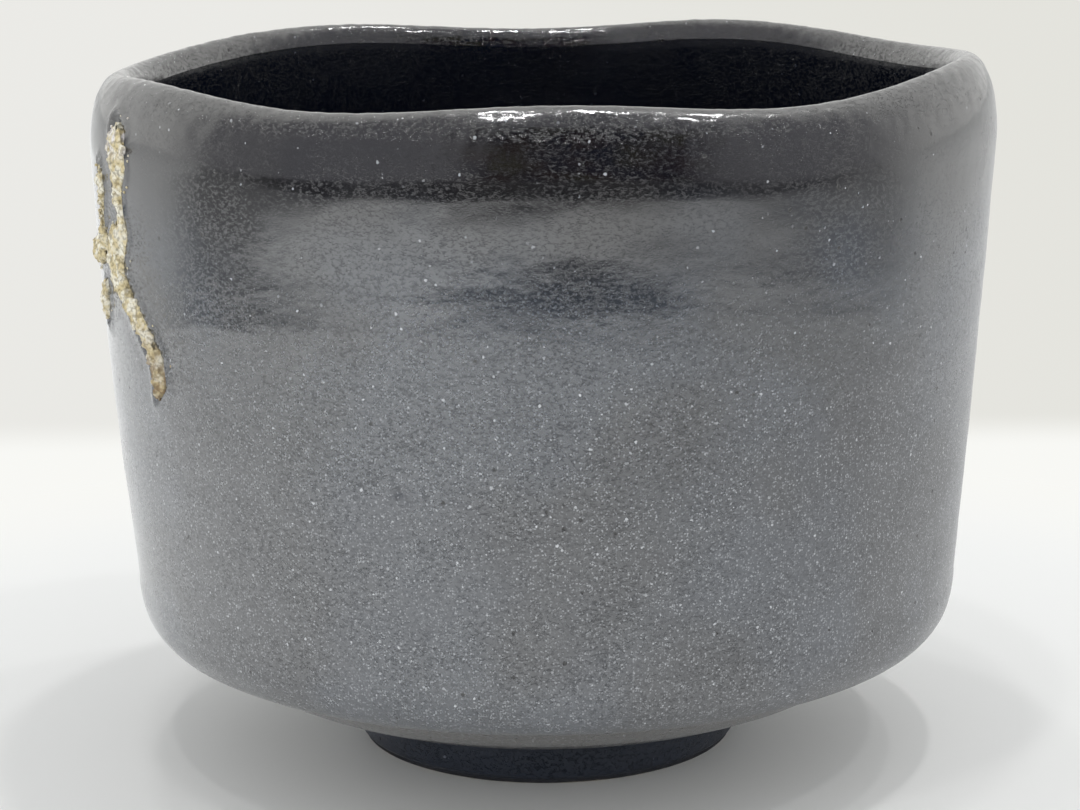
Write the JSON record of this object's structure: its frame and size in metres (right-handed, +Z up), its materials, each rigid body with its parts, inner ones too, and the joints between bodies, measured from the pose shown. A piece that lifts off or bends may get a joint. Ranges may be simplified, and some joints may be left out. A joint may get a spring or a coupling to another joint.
{
  "type": "matcha bowl",
  "caption": "Straight-sided hand-pinched tea bowl with a waved lip, a low foot ring, a dark glaze inside and out, and a pale gritty scar down one side.",
  "frame": {"origin": "centre of the circle that the foot ring stands on, on the table", "axes": "+Z up along the bowl's axis; +X to the right and -Y towards the viewer, with the scar on the -X side, a little towards -Y"},
  "size_m": [0.1116, 0.1116, 0.0874],
  "materials": {
    "clay": "bare coarse fired clay, matt",
    "glaze_outside": "black satin glaze with fine pits and pale specks",
    "glaze_inside": "black gloss glaze",
    "glaze_foot": "thin black satin glaze",
    "crust": "rough cream grit"
  },
  "bodies": {
    "root": {"clay_body": "clay", "foot_ring": "clay", "inner_glaze": "glaze_inside", "outer_glaze": "glaze_outside", "foot_glaze": "glaze_foot", "recess_glaze": "glaze_foot", "scar_crust": "crust"}
  },
  "joints": []
}
